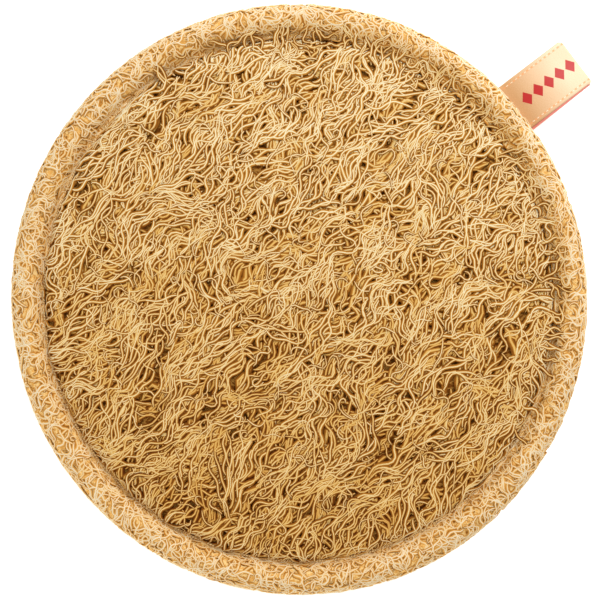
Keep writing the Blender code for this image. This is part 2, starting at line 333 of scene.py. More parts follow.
@dataclass(frozen=True)
class Growth:
    """A layer of fibres: bundles that grow along a flow, side by side, and thin out at both ends.

    A fibre's direction at share s of its way is flow(place) + its own error + bend s, and its
    place is the sum of the steps in that direction. The place is needed for the direction, so the
    path starts straight and is worked out anew a few times. Then it sways sideways by
    braid lane cos(2 pi way / wave + phase), where neighbours are half a wave apart, so that they
    meet and part as the threads of a net do.
    """

    name: str
    flow: Flow
    bundles: int
    strands: int = 6
    points: int = 13
    reach: Pair = (11, 19)
    reach_variety: Pair = (0.75, 1.1)
    lane: float = 0.95
    lane_error: float = 0.14
    slip: float = 3.0
    stray: float = math.radians(14)
    own_stray: float = math.radians(4)
    bend: float = 0.3
    own_bend: float = 0.3
    half_width: Pair = (0.5, 0.66)
    tip_width: float = 0.3
    taper_from: float = 0.94
    taper_power: float = 0.4
    flatness: float = 0.34
    braid: float = 0.4
    braid_wave: Pair = (5, 9)
    braid_error: float = 0.5
    lift: float = 0.0
    spread: float = 0.09
    own_spread: float = 0.3
    weave: float = 0.07
    weave_turns: Pair = (4, 12)
    dive: float = 0.45
    swell: Waves | None = None
    # tone and tone_rise give depth: painted shade, darker for a lower layer and for a fibre that lies
    # lower in it.
    tone: Pair = (0.85, 0.25)
    tone_rise: float = 0.6
    own_tint: float = 0.85
    refinements: int = 4

    def lay(self, width: float, length: float, rng: np.random.Generator) -> Fibres:
        """Lay the fibres over a rectangle that is centred on zero.

        Args:
            width: The rectangle's size across.
            length: Its size along.
            rng: Seeded random numbers.

        Returns:
            The fibres.
        """
        middle = scatter(width, length, self.bundles, rng)
        each, size = (len(middle), 1), (len(middle), self.strands)
        error = rng.normal(0, self.stray, each)
        first = self.flow.angle(middle[:, :1], middle[:, 1:]) + error
        place = np.arange(self.strands) - (self.strands - 1) / 2
        lane = (place + rng.normal(0, self.lane_error, size)) * self.lane
        slip = rng.uniform(-1, 1, size) * self.slip * (self.strands > 1)
        seed_x = (middle[:, :1] - lane * np.sin(first) + slip * np.cos(first)).reshape(-1, 1)
        seed_y = (middle[:, 1:] + lane * np.cos(first) + slip * np.sin(first)).reshape(-1, 1)
        own = (error + rng.normal(0, self.own_stray, size)).reshape(-1, 1)
        bend = rng.normal(0, self.bend, each) + rng.normal(0, self.own_bend * self.bend, size)
        bend = bend.reshape(-1, 1)
        reach = rng.uniform(*self.reach, each) * rng.uniform(*self.reach_variety, size)
        reach = reach.reshape(-1, 1)
        share = np.linspace(-0.5, 0.5, self.points)[None]
        across = seed_x + reach * share
        along = seed_y + 0 * across
        for _ in range(self.refinements):
            way = self.flow.angle(across, along) + own + bend * share
            across = seed_x + centred_sum(np.cos(way)) * reach / (self.points - 1)
            along = seed_y + centred_sum(np.sin(way)) * reach / (self.points - 1)
        wave = (rng.uniform(*self.braid_wave, each) * np.ones(size)).reshape(-1, 1)
        phase = math.pi * np.arange(self.strands) + rng.normal(0, self.braid_error, size)
        sway = np.cos(2 * math.pi * reach * share / wave + phase.reshape(-1, 1))
        across = across - self.braid * self.lane * sway * np.sin(way)
        along = along + self.braid * self.lane * sway * np.cos(way)
        taper = np.clip(np.cos(math.pi * share * self.taper_from), 0, 1) ** self.taper_power
        level = rng.uniform(-1, 1, each) * (1 - self.own_spread)
        level = (level + rng.uniform(-1, 1, size) * self.own_spread).reshape(-1, 1)
        single = level.shape
        turns = rng.uniform(*self.weave_turns, single)
        ride = np.sin(share * turns + rng.uniform(0, 2 * math.pi, single))
        swell = self.swell.value(across, along) if self.swell else 0
        lift = self.lift + self.spread * level + self.weave * ride + swell - self.dive * (1 - taper)
        width_share = self.tip_width + (1 - self.tip_width) * taper
        half = rng.uniform(*self.half_width, single) * width_share
        tint = (1 - self.own_tint) * rng.random(each) + self.own_tint * rng.random(size)
        # Painted shade: the lower a fibre lies, the darker its tone.
        plain, gain = self.tone
        depth = plain + gain * np.clip((lift - self.lift) / self.tone_rise, -1, 1)
        return Fibres(across, along, lift, half, reach * (share + 0.5), tint.reshape(-1), depth)


@dataclass(frozen=True)
class Face:
    """One face of the pad as a sheet that fibres are laid on."""

    build: Build
    side: Side
    steepest: float = 1.6

    def place(self, fibres: Fibres) -> tuple[Array, Array]:
        """Put fibres on the face: z is the face's height at the radius, plus the lift.

        Args:
            fibres: Fibres on the flat sheet, whose (across, along) are x and y.

        Returns:
            Places and unit normals, both of shape (fibre, point, 3), before the oval is pressed.
        """
        radii, heights = self.build.face_profile(self.side)
        radius = np.hypot(fibres.across, fibres.along)
        slope = np.interp(radius, radii, np.gradient(heights, radii))
        up = self.side.value
        lean = -np.clip(slope, -self.steepest, self.steepest) * up / np.maximum(radius, TINY)
        normal = unit(np.stack(
            (lean * fibres.across, lean * fibres.along, np.full_like(lean, up)), axis=-1))
        z = np.interp(radius, radii, heights)
        base = np.stack((fibres.across, fibres.along, z), axis=-1)
        return base + normal * fibres.lift[..., None], normal


@dataclass(frozen=True)
class Span:
    """A loose cover over the front groove, from the pad's shoulder up to the welt."""

    build: Build
    start: float = 62.8
    end: float = 69.2
    sag: float = 0.6

    def solid(self, radius: Array) -> Array:
        """Give the height of what lies below: the pad's face or the welt, whichever is higher.

        Args:
            radius: Distances from the middle of the sponge.

        Returns:
            The heights there.
        """
        pad = np.interp(radius, *self.build.face_profile(Side.FRONT))
        rise = self.build.rim_height / 2 * np.sqrt(1 - self.build.rim_share(radius) ** 2)
        return np.maximum(pad, self.build.rim_middle_z + rise)

    def place(self, fibres: Fibres) -> tuple[Array, Array]:
        """Put fibres on the cover: z is the pad's or the welt's height, or the chord's if higher.

        The chord joins the heights at start and end, less sag sin(pi share).

        Args:
            fibres: Fibres whose across is counted outwards from the middle of the cover.

        Returns:
            Places and unit normals, with x, y and z last, before the oval is pressed.
        """
        radius = (self.start + self.end) / 2 + fibres.across
        share = np.clip((radius - self.start) / (self.end - self.start), 0, 1)
        first, last = self.solid(np.array((self.start, self.end)))
        chord = first + (last - first) * share - self.sag * np.sin(math.pi * share)
        z = np.maximum(self.solid(radius), chord) + fibres.lift
        turn = fibres.along / self.build.rim_middle
        slope = np.clip((last - first) / (self.end - self.start), -1, 1)
        return polar(radius, turn, z), unit(polar(-slope, turn, 1.0))


@dataclass(frozen=True)
class Wrap:
    """The rim band and both grooves as one sheet: along runs round the rim, across over it.

    The section starts on the pad's front shoulder, dips into the groove, goes over the oval welt
    and ends on the back shoulder. The grooves are filled a little, most at the open side, and
    stitches pull them down at an even pitch.
    """

    build: Build
    stitches: int = 88
    dimple: float = 0.5
    fill: float = 0.5
    bulge: float = 1.8
    fill_place: float = 0.45
    fill_reach: Pair = (0.5, 0.7)
    fill_flat: float = 0.5
    open_side: float = math.radians(48)
    overlap: float = 0.2
    bite: float = math.radians(160)
    welt_points: int = 160
    # Painted light on the outer flank, painted light in the groove at its open side, and painted shade on
    # the inner flank.
    edge_pale: float = 0.28
    groove_pale: float = 0.2
    inner_dark: float = 0.34
    groove_reach: float = 0.4
    softness: int = 25
    samples: int = 400

    def section(self) -> tuple[Array, Array, Array]:
        """Give the section as way, radius and height.

        Returns:
            The distance along the section from its middle, and the radius and height there.
        """
        shoulders = []
        for side in Side:
            radii, heights = self.build.face_profile(side)
            inside = radii > self.build.shoulder - self.overlap
            shoulders.append(np.stack((radii[inside], heights[inside]), axis=1))
        turn = np.linspace(self.bite, -self.bite, self.welt_points)
        middle = np.array((self.build.rim_middle, self.build.rim_middle_z))
        half = np.array((self.build.rim_width, self.build.rim_height)) / 2
        welt = middle + half * np.stack((np.cos(turn), np.sin(turn)), axis=1)
        line = np.concatenate((shoulders[0], welt, shoulders[1][::-1]))
        travel = travelled(line)
        way = np.linspace(0, travel[-1], self.samples)
        window = np.hanning(self.softness)
        soft = []
        for column in line.T:
            padded = np.pad(np.interp(way, travel, column), self.softness // 2, mode="edge")
            soft.append(np.convolve(padded, window / window.sum(), mode="valid"))
        return way - travel[-1] / 2, soft[0], soft[1]

    def openness(self, along: Array) -> Array:
        """Give how far the groove is grown over: 1 at the tag's side, and 0 over the far half."""
        return np.clip(np.cos(along / self.build.rim_middle - self.open_side), 0, 1) ** 2

    def shade(self, across: Array, along: Array) -> Array:
        """Give the painted light and shade of the fibres there: 1 on the welt's top, painted shade inside
        and painted light outside.

        Args:
            across: Way along the section, from its middle.
            along: Way round the rim.

        Returns:
            1 + groove_pale g (1 - c) + edge_pale max(o, 0) - inner_dark (1/3 + 2/3 g) max(-o, 0),
            where g is the openness, c rises smoothly from 0 in the groove to 1 on the welt, and o is
            rim_share.
            The first term is painted light in the groove at its open side, the second painted light on the
            outer flank, the third painted shade on the inner flank, deepest at the open side.
        """
        way, radii, _ = self.section()
        radius = np.interp(across, way, radii)
        climb = (radius - self.build.rim_inner + self.groove_reach) / (3 * self.groove_reach)
        climb = np.clip(climb, 0, 1)
        outward = self.build.rim_share(radius)
        opened = self.openness(along)
        down = self.groove_pale * opened * (1 - climb**2 * (3 - 2 * climb))
        inner = self.inner_dark * (1 + 2 * opened) / 3
        return 1 + down + np.where(outward > 0, self.edge_pale, inner) * outward

    @property
    def width(self) -> float:
        """Size of the sheet across, over the whole section."""
        way = self.section()[0]
        return float(way[-1] - way[0])

    @property
    def length(self) -> float:
        """Size of the sheet along, once round the rim."""
        return 2 * math.pi * self.build.rim_middle

    def place(self, across: Array, along: Array, lift: Array) -> tuple[Array, Array]:
        """Put places on the rim: a share of the way round, and a place on the section.

        Args:
            across: Way along the section, from its middle.
            along: Way round the rim, at the welt's middle.
            lift: Height over the sheet.

        Returns:
            Places and unit normals, with x, y and z last, before the oval is pressed.
        """
        way, radii, heights = self.section()
        across = np.clip(across, way[0], way[-1])
        radius = np.interp(across, way, radii)
        z = np.interp(across, way, heights)
        out_r = -np.interp(across, way, np.gradient(heights, way))
        out_z = np.interp(across, way, np.gradient(radii, way))
        turn = along / self.build.rim_middle
        opened = self.openness(along)
        reach = self.fill_reach[0] + self.fill_reach[1] * opened
        near = np.exp(-(((radius - self.build.shoulder - self.fill_place) / reach) ** 2))
        dimple = self.dimple * (1 + np.cos(self.stitches * turn)) / 2
        fill = self.fill + self.bulge * opened - dimple
        lift = lift * (1 - self.fill_flat * near)
        radius = radius + out_r * lift
        z = z + out_z * lift + near * fill * np.sign(z - self.build.rim_middle_z)
        return polar(radius, turn, z), unit(polar(out_r, turn, out_z))


def quads(number: Array, closed: tuple[bool, bool] = (False, True), flip: bool = False) -> Array:
    """Join a grid of vertex numbers into quads.

    Args:
        number: Vertex numbers of shape (..., row, column).
        closed: Whether the last row joins the first, and whether the last column does.
        flip: Turns the faces over: each goes along its row first, and not down its column.

    Returns:
        Faces as rows of four numbers.
    """
    if closed[0]:
        number = np.concatenate((number, number[..., :1, :]), axis=-2)
    if closed[1]:
        number = np.concatenate((number, number[..., :1]), axis=-1)
    down, right = number[..., 1:, :-1], number[..., :-1, 1:]
    if flip:
        down, right = right, down
    return np.stack((number[..., :-1, :-1], down, number[..., 1:, 1:], right), axis=-1).reshape(-1, 4)


def polar_cap(ring: Array) -> Array:
    """Close a small even ring of vertices with a strip of quads.

    Args:
        ring: Vertex numbers in order.

    Returns:
        Faces as rows of four numbers, which pair the ring's two halves.
    """
    half = len(ring) // 2
    left, right = ring[:half], ring[half:][::-1]
    return np.stack((left[:-1], left[1:], right[1:], right[:-1]), axis=-1)


def mesh_object(name: str, points: Array, faces: list[Array], tones: dict[str, Array]) -> Object:
    """Make a mesh object out of whole arrays.

    Args:
        name: The object's name.
        points: Vertices, with x, y and z in millimetres along the last axis.
        faces: Arrays of faces, each with as many vertex numbers in a row as its faces have corners.
        tones: Named values, one for each vertex, that materials read.

    Returns:
        The object, linked to the scene and shaded smooth but for its sharpest edges.
    """
    places = points.reshape(-1, 3) * MM
    mesh = bpy.data.meshes.new(name)
    mesh.vertices.add(len(places))
    mesh.vertices.foreach_set("co", places.astype(np.float32).ravel())
    corners = np.concatenate([group.ravel() for group in faces])
    sizes = np.concatenate([np.full(len(group), group.shape[1]) for group in faces])
    mesh.loops.add(corners.size)
    mesh.loops.foreach_set("vertex_index", corners.astype(np.int32))
    mesh.polygons.add(sizes.size)
    mesh.polygons.foreach_set("loop_start", (np.cumsum(sizes) - sizes).astype(np.int32))
    mesh.polygons.foreach_set("use_smooth", np.ones(sizes.size, bool))
    mesh.update(calc_edges=True)
    mesh.set_sharp_from_angle(angle=SHARP_ANGLE)
    for tone, values in tones.items():
        attribute = mesh.attributes.new(tone, "FLOAT", "POINT")
        attribute.data.foreach_set("value", values.astype(np.float32).ravel())
    thing = bpy.data.objects.new(name, mesh)
    bpy.context.scene.collection.objects.link(thing)
    return thing


def tube_mesh(name: str, fibres: Fibres, places: Array, normals: Array, flatness: float) -> Object:
    """Carry a three-cornered section, a ridge with a flat underside, along every fibre.

    A corner is place + half_width (sin(a) side + flatness cos(a) up), where side is square to the
    fibre and the sheet's normal, up is square to both, and a steps round from 0 at the crest.

    Args:
        name: The object's name.
        fibres: The fibres, for their widths and tones.
        places: Their places, of shape (fibre, point, 3).
        normals: The sheet's normals there.
        flatness: Height of the section as a share of its width.

    Returns:
        The object, one closed tube for each fibre.
    """
    shape = (*places.shape[:2], TUBE_SIDES)
    tangent = unit(np.gradient(places, axis=1))
    side = unit(np.cross(tangent, normals))
    up = flatness * np.cross(side, tangent)
    angle = np.arange(TUBE_SIDES) * 2 * math.pi / TUBE_SIDES
    ring = side[..., None, :] * np.sin(angle)[:, None] + up[..., None, :] * np.cos(angle)[:, None]
    points = places[..., None, :] + fibres.half_width[..., None, None] * ring
    number = np.arange(math.prod(shape)).reshape(shape)
    tones = {
        "crest": np.broadcast_to(angle == 0, shape),
        "tint": np.broadcast_to(fibres.tint[:, None, None], shape),
        "depth": np.broadcast_to(fibres.depth[..., None], shape),
        "run": np.broadcast_to(fibres.run[..., None], shape),
    }
    return mesh_object(name, points, [quads(number), number[:, 0], number[:, -1, ::-1]], tones)


@dataclass(frozen=True)
class Role:
    """What a piece is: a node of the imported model, a slot of the record and a material."""

    node: str
    slot: str
    material: Material

    def dress(self, piece: Object) -> Object:
        """Give a piece its material and tie it to the model.

        Args:
            piece: The piece.

        Returns:
            The same piece.
        """
        piece.data.materials.append(self.material)
        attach(piece, "root")
        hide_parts(self.node)
        LOG.info("%s: %d faces", piece.name, len(piece.data.polygons))
        return piece


class Shader:
    """A material's, a group's or the world's node tree, with short ways to add and join nodes."""

    def __init__(self, tree: bpy.types.NodeTree) -> None:
        """Keep the tree that nodes are added to."""
        self.tree = tree

    def fill(self, node: bpy.types.Node, inputs: dict) -> bpy.types.Node:
        """Set a node's inputs, or join them to the sockets that feed them.

        Args:
            node: The node.
            inputs: Input name or number to a value, or to the output socket that feeds it.

        Returns:
            The same node.
        """
        for name, value in inputs.items():
            if isinstance(value, Socket):
                self.tree.links.new(value, node.inputs[name])
            else:
                node.inputs[name].default_value = value
        return node

    def add(self, kind: str, inputs: dict | None = None, **settings: object) -> bpy.types.Node:
        """Add a node.

        Args:
            kind: The node's type name.
            inputs: What its inputs are filled with.
            **settings: The node's own settings.

        Returns:
            The node.
        """
        added = self.tree.nodes.new(kind)
        for name, value in settings.items():
            setattr(added, name, value)
        return self.fill(added, inputs or {})

    def tone(self, name: str) -> Socket:
        """Return the output that reads one of the mesh's named values."""
        return self.add("ShaderNodeAttribute", attribute_name=name).outputs["Fac"]

    def place(self) -> Socket:
        """Return the output with the object's own coordinates."""
        return self.add("ShaderNodeTexCoord").outputs["Object"]

    def noise(self, place: Socket, scale: float, detail: float) -> bpy.types.Node:
        """Return a noise texture's node."""
        return self.add("ShaderNodeTexNoise", {"Vector": place, "Scale": scale, "Detail": detail})

    def math(self, operation: str, *values: object, clamp: bool = False) -> Socket:
        """Return the output of a Math node on up to three values or sockets."""
        inputs = dict(enumerate(values))
        return self.add("ShaderNodeMath", inputs, operation=operation, use_clamp=clamp).outputs[0]

    def mix(self, factor: Socket, first: object, second: object) -> Socket:
        """Return the colour between two colours or colour sockets."""
        inputs = {"Factor": factor, "A": first, "B": second}
        return self.add("ShaderNodeMix", inputs, data_type="RGBA").outputs["Result"]

    def ramp(self, factor: Socket, *stops: tuple[float, Colour]) -> Socket:
        """Add a colour ramp.

        Args:
            factor: The value that it reads.
            *stops: Places from 0 to 1 with their colours, in order.

        Returns:
            Its colour output.
        """
        made = self.add("ShaderNodeValToRGB", {"Fac": factor})
        band = made.color_ramp
        while len(band.elements) < len(stops):
            band.elements.new(0.5)
        for element, (place, colour) in zip(band.elements, stops):
            element.position = place
            element.color = (*colour, 1)
        return made.outputs["Color"]

    def surface(self, colour: Socket, height: Socket, bump: Pair, numbers: dict[str, float]) -> None:
        """Give the Principled shader its colour, its bump and its plain numbers.

        Args:
            colour: The base colour.
            height: The bump's height.
            bump: The bump's strength, and its distance in millimetres.
            numbers: Input name to number.
        """
        strength, distance = bump
        inputs = {"Height": height, "Strength": strength, "Distance": distance * MM}
        normal = self.add("ShaderNodeBump", inputs).outputs["Normal"]
        principled = self.tree.nodes["Principled BSDF"]
        self.fill(principled, {"Base Color": colour, "Normal": normal, **numbers})


def new_material(name: str) -> tuple[Material, Shader]:
    """Make a node material.

    Args:
        name: The material's name.

    Returns:
        The material and its tree.
    """
    material = bpy.data.materials.new(name)
    material.use_nodes = True
    return material, Shader(material.node_tree)


def fibre_tone_group() -> bpy.types.NodeTree:
    """Build the group that turns a fibre's named values into one tone from 0, dark, to 1, pale.

    The tone is depth (root + slope crest + gain line) + tint gain (tint - 1/2) + mottle (noise - 1/2),
    where line rises smoothly from 0 to 1 near the crest, and the noise is drawn out along the fibre.
    The line is a painted highlight along the crest, and slope paints shade down the flanks.

    Returns:
        The node group.
    """
    group = bpy.data.node_groups.new("fibre_tone", "ShaderNodeTree")
    for name in TONE_INPUTS:
        group.interface.new_socket(name, in_out="INPUT", socket_type="NodeSocketFloat")
    group.interface.new_socket("Tone", in_out="OUTPUT", socket_type="NodeSocketFloat")
    shader = Shader(group)
    given = shader.add("NodeGroupInput").outputs
    root, slope, gain, line_from, line_to, tint_gain, mottle = (given[name] for name in TONE_INPUTS)
    read = {name: shader.tone(name) for name in STREAK}
    drawn = {axis: shader.math("MULTIPLY", read[name], scale)
             for axis, (name, scale) in zip("XYZ", STREAK.items())}
    streak = shader.add("ShaderNodeCombineXYZ", drawn).outputs[0]
    noise = shader.noise(streak, 1.0, 3.0).outputs["Fac"]
    # Painted highlight: a cream line along the crest; the flank below it is painted darker towards the
    # ridge's base.
    limits = {"Value": read["crest"], "From Min": line_from, "From Max": line_to}
    line = shader.add("ShaderNodeMapRange", limits, interpolation_type="SMOOTHSTEP")
    flank = shader.math("MULTIPLY_ADD", read["crest"], slope, root)
    body = shader.math("MULTIPLY_ADD", line.outputs["Result"], gain, flank)
    tone = shader.math("MULTIPLY", body, shader.tone("depth"))
    for value, swing in ((read["tint"], tint_gain), (noise, mottle)):
        tone = shader.math("MULTIPLY_ADD", shader.math("SUBTRACT", value, 0.5), swing, tone)
    shader.add("NodeGroupOutput", {"Tone": shader.math("ADD", tone, 0.0, clamp=True)})
    return group


@dataclass(frozen=True)
class FibreFinish:
    """Dry loofah fibre: painted shade where it lies deep and down its flanks to tan, and a painted cream
    highlight along the crest.
    """

    name: str
    stops: tuple[tuple[float, Colour], ...]
    root: float = 0.06
    slope: float = 0.4
    gain: float = 0.48
    line_from: float = 0.58
    line_to: float = 0.92
    tint_gain: float = 0.16
    mottle: float = 0.22
    grain: Pair = (5000.0, 2.0)
    bump: Pair = (0.35, 0.05)
    roughness: float = 0.75
    specular: float = 0.08

    def material(self, tone_group: bpy.types.NodeTree) -> Material:
        """Build the material around the shared tone group.

        Args:
            tone_group: The group that gives the tone.

        Returns:
            The material.
        """
        material, shader = new_material(self.name)
        given = {name: getattr(self, name) for name in TONE_INPUTS}
        tone = shader.add("ShaderNodeGroup", given, node_tree=tone_group).outputs["Tone"]
        grain = shader.noise(shader.place(), *self.grain).outputs["Fac"]
        shader.surface(shader.ramp(tone, *self.stops), grain, self.bump,
                       {"Roughness": self.roughness, "Specular IOR Level": self.specular})
        return material


@dataclass(frozen=True)
class BedFinish:
    """The loofah's matted underlayer: a fine net over webs, with each opening painted darker into a pit as
    painted shade.
    """

    name: str
    pit: Colour
    web: Colour
    line: Colour
    heading: float = math.radians(48)
    stretch: float = 0.5
    flatten: float = 0.8
    openings: float = 640.0
    shake: float = 0.0035
    shake_grain: Pair = (500.0, 2.0)
    patch_grain: Pair = (260.0, 3.0)
    patch_floor: float = 0.6
    line_to: float = 0.06
    web_from: float = 0.14
    pit_from: float = 0.3
    pit_to: float = 0.5
    bump: Pair = (1.0, 0.5)
    roughness: float = 0.85
    specular: float = 0.05

    def material(self) -> Material:
        """Build the material: the walls of stretched, warped cells are the net's lines.

        Returns:
            The material.
        """
        material, shader = new_material(self.name)
        place = shader.place()
        turned = shader.add("ShaderNodeMapping", {
            "Vector": place, "Rotation": (0, 0, -self.heading), "Scale": (self.stretch, 1.0, self.flatten),
        }).outputs["Vector"]
        noise = shader.noise(turned, *self.shake_grain).outputs["Color"]
        offset = shader.add("ShaderNodeVectorMath", {0: noise, 1: (0.5,) * 3}, operation="SUBTRACT")
        warp = shader.add("ShaderNodeVectorMath", {0: offset.outputs[0], 1: (self.shake,) * 3, 2: turned},
                          operation="MULTIPLY_ADD").outputs[0]
        cells = shader.add("ShaderNodeTexVoronoi", {"Vector": warp, "Scale": self.openings},
                           feature="DISTANCE_TO_EDGE").outputs["Distance"]
        patches = shader.noise(place, *self.patch_grain).outputs["Fac"]
        depth = shader.math("MULTIPLY", cells, shader.math("ADD", patches, self.patch_floor))
        # Deeper in a cell the colour goes to pit: painted shade in the opening.
        colour = shader.ramp(depth, (0.0, self.line), (self.line_to, self.line), (self.web_from, self.web),
                             (self.pit_from, self.web), (self.pit_to, self.pit))
        shader.surface(colour, shader.math("SUBTRACT", 0.5, depth), self.bump,
                       {"Roughness": self.roughness, "Specular IOR Level": self.specular})
        return material


COMBED = Flow(math.radians(49), (Waves(28, 0.26, 1), Waves(9, 0.34, 2)))
PARTED = Flow(math.radians(51), (Waves(26, 0.32, 7), Waves(10, 0.36, 10)))
CROSSED = Flow(math.radians(52), (Waves(22, 0.6, 3), Waves(8, 0.4, 4)))
CURLED = Flow(math.radians(48), (Waves(8, 1.2, 6),))
RIM_MAIN = Flow(0.3, (Waves(13, 0.9, 31), Waves(5.5, 0.7, 32)))
RIM_CROSSED = Flow(1.4, (Waves(12, 1.0, 33), Waves(5, 0.7, 34)))
BRIDGING = Flow(0.0, (Waves(11, 0.7, 36), Waves(5, 0.5, 37)))


@dataclass
class LoofahPad:
    """The domed mat: a bed darkened with painted shade, webs of broad flat fibres over it and nets over
    its two faces.
    """

    build: Build
    reach: float = 66.6
    outside: float = 1.0
    edge_room: float = 2.2
    overrun: float = 4.0
    # Painted light: the fibres grow paler towards this side, where the key light falls.
    pale_side: float = math.radians(82)
    pale_gain: float = 0.06
    tint_lean: float = 0.4
    # Painted light on the fibres going down to the seam, lifting the groove's shade.
    edge_gain: float = 0.12
    edge_from: float = 62.4
    edge_to: float = 65.0
    bed_drop: float = 1.1
    bed_hole: float = 0.012
    bed_lowest: float = 0.3
    net_lowest: float = 0.25
    bed_waves: Waves = Waves(7, 0.15, 8)
    rings: int = 40
    spokes: int = 180
    seed: int = 21
    knots: Knots = Knots(pitch=12, pull=0.3, reach=2.2, seed=5)
    front: tuple[Growth, ...] = (
        Growth("web", CROSSED, 560, strands=3, points=6, reach=(8, 14), lane=1.5, half_width=(0.8, 1.2),
               flatness=0.25, lift=-0.42, spread=0.2, weave=0.05, dive=0.1, tone=(0.66, 0.05)),
        Growth("low", CROSSED, 300, points=10, reach=(8, 14), lift=-0.2, half_width=(0.62, 0.8),
               lane=1.2, swell=Waves(12, 0.12, 11), tone=(0.74, 0.05)),
        Growth("middle", COMBED, 290, points=15, reach=(10, 17), lift=-0.04, half_width=(0.6, 0.76),
               lane=1.1, swell=Waves(12, 0.14, 12), tone=(0.88, 0.05)),
        Growth("inner_curls", CURLED, 600, strands=1, points=9, reach=(5, 9), stray=1.5, bend=1.8,
               half_width=(0.34, 0.46), lift=0.05, spread=0.2, tone=(0.92, 0.2)),
        Growth("high", PARTED, 210, points=16, reach=(10, 18), lift=0.14, lane=1.15, braid=0.42,
               half_width=(0.54, 0.68), swell=Waves(12, 0.14, 13), tone=(0.94, 0.02),
               stray=math.radians(18)),
        Growth("outer_curls", CURLED, 650, strands=1, points=10, reach=(5, 10), stray=0.9, bend=1.5,
               half_width=(0.36, 0.48), lift=0.14, spread=0.2, tone=(1.0, 0.1)),
    )
    back: tuple[Growth, ...] = (
        Growth("web", COMBED, 180, strands=3, points=6, reach=(8, 14), lane=1.6, half_width=(0.9, 1.3),
               flatness=0.2, lift=-0.5, spread=0.1, weave=0.03, dive=0.1, tone=(0.8, 0.25)),
        Growth("low", CROSSED, 140, points=9, reach=(8, 14), lift=-0.15, spread=0.1, tone=(0.8, 0.25)),
        Growth("high", PARTED, 220, points=11, reach=(9, 15), lift=0.1, spread=0.1, weave=0.05,
               tone=(0.92, 0.2)),
        Growth("curls", CURLED, 1000, strands=1, points=8, reach=(4, 9), stray=1.2, bend=1.8,
               half_width=(0.26, 0.38), lift=0.22, spread=0.12, weave=0.05, tone=(1.0, 0.1)),
    )

    def bed(self, side: Side) -> Array:
        """Give one face's bed: the face's profile turned round, a little lower and uneven.

        Args:
            side: Which face.

        Returns:
            Places of shape (ring, spoke, 3).
        """
        radius = np.linspace(self.bed_hole, 1, self.rings)[:, None] * self.reach
        turn = np.linspace(0, 2 * math.pi, self.spokes, endpoint=False)
        z = np.interp(radius, *self.build.face_profile(side)) - side.value * self.bed_drop
        uneven = self.bed_waves.value(radius * np.cos(turn), radius * np.sin(turn)) * side.value
        return polar(radius, turn, np.maximum(z + uneven, self.bed_lowest))

    def make_bed(self, role: Role) -> None:
        """Build the closed bed: the front and the back face, joined at the edge and capped.

        Args:
            role: What the piece is.
        """
        shells = np.concatenate((self.bed(Side.FRONT), self.bed(Side.BACK)[::-1]))
        number = np.arange(shells.size // 3).reshape(shells.shape[:2])
        faces = [quads(number), polar_cap(number[0]), polar_cap(number[-1][::-1])]
        role.dress(mesh_object("pad_bed", self.build.press(shells), faces, {}))

    def turn_in(self, fibres: Fibres) -> Fibres:
        """Turn the fibres that cross the pad's edge so that they run into the seam.

        Fibres that lie mostly outside are left out.

        Args:
            fibres: Fibres on the flat sheet.

        Returns:
            The fibres inside the edge.
        """
        radius = np.hypot(fibres.across, fibres.along)
        fibres = fibres.keep(radius.mean(axis=1) < self.reach + self.outside)
        radius = np.hypot(fibres.across, fibres.along)
        drawn = squeeze(radius, self.reach, self.edge_room) / np.maximum(radius, TINY)
        fibres.across, fibres.along = fibres.across * drawn, fibres.along * drawn
        return fibres

    def tone(self, fibres: Fibres) -> None:
        """Paint light on the fibres' tones: paler towards the lit side of the mat, and paler on the way
        down to the seam.

        With lean = (x cos a + y sin a) / reach, depth gains pale_gain lean + edge_gain e,
        with e rising from 0 to 1 on the way down to the seam, and the tint gains tint_lean times the
        fibre's mean lean. Both are painted light: the first lights the side towards the key light, the
        second lifts the groove's shade.

        Args:
            fibres: Fibres on the flat sheet.
        """
        toward = math.cos(self.pale_side), math.sin(self.pale_side)
        lean = (fibres.across * toward[0] + fibres.along * toward[1]) / self.reach
        radius = np.hypot(fibres.across, fibres.along)
        edge = np.clip((radius - self.edge_from) / (self.edge_to - self.edge_from), 0, 1)
        fibres.depth = fibres.depth + self.pale_gain * lean + self.edge_gain * edge
        fibres.tint = fibres.tint + self.tint_lean * lean.mean(axis=1)

    def make_net(self, side: Side, layers: tuple[Growth, ...], rng: np.random.Generator,
                 role: Role) -> None:
        """Build the layers of one face's net.

        Args:
            side: Which face.
            layers: Its layers, from the lowest up.
            rng: Seeded random numbers.
            role: What the pieces are.
        """
        size = 2 * (self.reach + self.overrun)
        for growth in layers:
            fibres = growth.lay(size, size, rng)
            self.knots.draw_in(fibres, size, size)
            fibres = self.turn_in(fibres)
            self.tone(fibres)
            places, normals = Face(self.build, side).place(fibres)
            places[..., 2] = np.maximum(places[..., 2], self.net_lowest)
            name = f"pad_{side.name.lower()}_{growth.name}"
            role.dress(tube_mesh(name, fibres, self.build.press(places), normals, growth.flatness))

    def make(self, net: Role, bed: Role) -> None:
        """Build the bed and every layer of both nets.

        Args:
            net: What the layers are.
            bed: What the bed is.
        """
        rng = np.random.default_rng(self.seed)
        self.make_bed(bed)
        self.make_net(Side.FRONT, self.front, rng, net)
        self.make_net(Side.BACK, self.back, rng, net)


